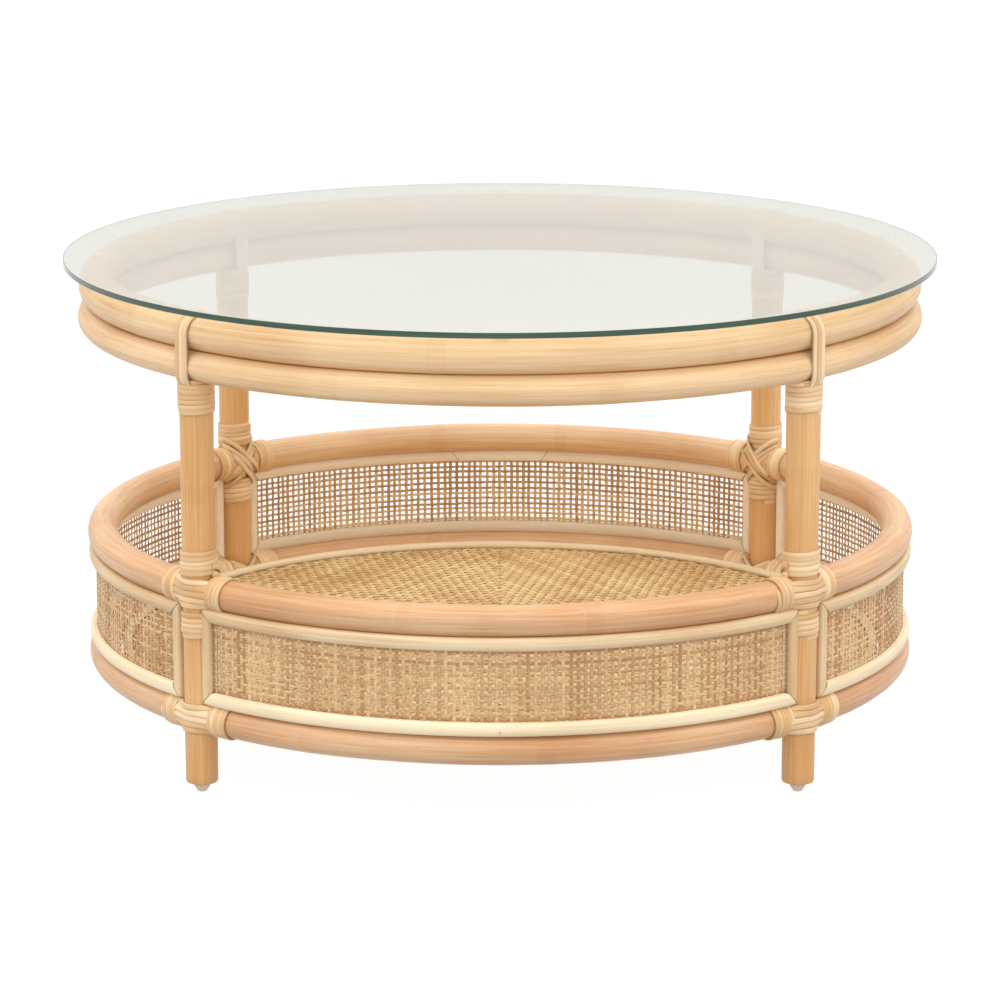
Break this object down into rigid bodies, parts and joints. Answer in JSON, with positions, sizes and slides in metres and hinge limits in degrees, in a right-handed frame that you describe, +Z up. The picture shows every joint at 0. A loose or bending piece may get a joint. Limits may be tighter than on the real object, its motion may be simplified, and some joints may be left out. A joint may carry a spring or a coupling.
{
  "type": "coffee table",
  "caption": "Round glass-topped rattan coffee table: poles bound with peel, a low storage basket with woven cane sides and shelf, and a glass disc that lifts off its clear pads.",
  "frame": {"origin": "on the floor, under the middle of the table", "axes": "+Z up, -Y towards the front; the table looks the same from its four sides"},
  "size_m": [0.8, 0.8, 0.4375],
  "materials": {
    "glass": "polished, green edge",
    "clear_plastic": "clear",
    "nylon": "matte",
    "top_pole": "satin lacquer on light yellow rattan",
    "basket_pole": "satin lacquer on pinkish rattan",
    "leg_pole": "satin lacquer on yellow rattan",
    "peel": "satin, split rattan peel",
    "batten": "matte, split cane core",
    "cane": "matte, woven cane",
    "edge_cane": "satin",
    "board": "matte plywood"
  },
  "bodies": {
    "frame": {"upper_top_ring": "top_pole", "lower_top_ring": "top_pole", "shelf_mat": "cane", "shelf_edge_cane": "edge_cane", "shelf_board": "board", "shelf_bearer_front": "board", "shelf_bearer_back": "board", "leg_front_left": "leg_pole", "foot_glide_front_left": "nylon", "top_ring_strap_front_left": "peel", "leg_top_wrap_front_left": "peel", "rim_binding_front_left": "peel", "base_binding_front_left": "peel", "leg_front_right": "leg_pole", "foot_glide_front_right": "nylon", "top_ring_strap_front_right": "peel", "leg_top_wrap_front_right": "peel", "rim_binding_front_right": "peel", "base_binding_front_right": "peel", "leg_back_right": "leg_pole", "foot_glide_back_right": "nylon", "top_ring_strap_back_right": "peel", "leg_top_wrap_back_right": "peel", "rim_binding_back_right": "peel", "base_binding_back_right": "peel", "leg_back_left": "leg_pole", "foot_glide_back_left": "nylon", "top_ring_strap_back_left": "peel", "leg_top_wrap_back_left": "peel", "rim_binding_back_left": "peel", "base_binding_back_left": "peel", "glass_pad_front": "clear_plastic", "rim_pole_front": "basket_pole", "base_pole_front": "basket_pole", "cane_panel_front": "cane", "outer_batten_frame_front": "batten", "inner_batten_frame_front": "batten", "glass_pad_right": "clear_plastic", "rim_pole_right": "basket_pole", "base_pole_right": "basket_pole", "cane_panel_right": "cane", "outer_batten_frame_right": "batten", "inner_batten_frame_right": "batten", "glass_pad_back": "clear_plastic", "rim_pole_back": "basket_pole", "base_pole_back": "basket_pole", "cane_panel_back": "cane", "outer_batten_frame_back": "batten", "inner_batten_frame_back": "batten", "glass_pad_left": "clear_plastic", "rim_pole_left": "basket_pole", "base_pole_left": "basket_pole", "cane_panel_left": "cane", "outer_batten_frame_left": "batten", "inner_batten_frame_left": "batten"},
    "glass": {"glass_top": "glass"}
  },
  "joints": [
    {"name": "glass_lift", "type": "slide", "parent": "frame", "child": "glass", "axis": [0, 0, 1], "range_m": [0, 0.12]}
  ]
}
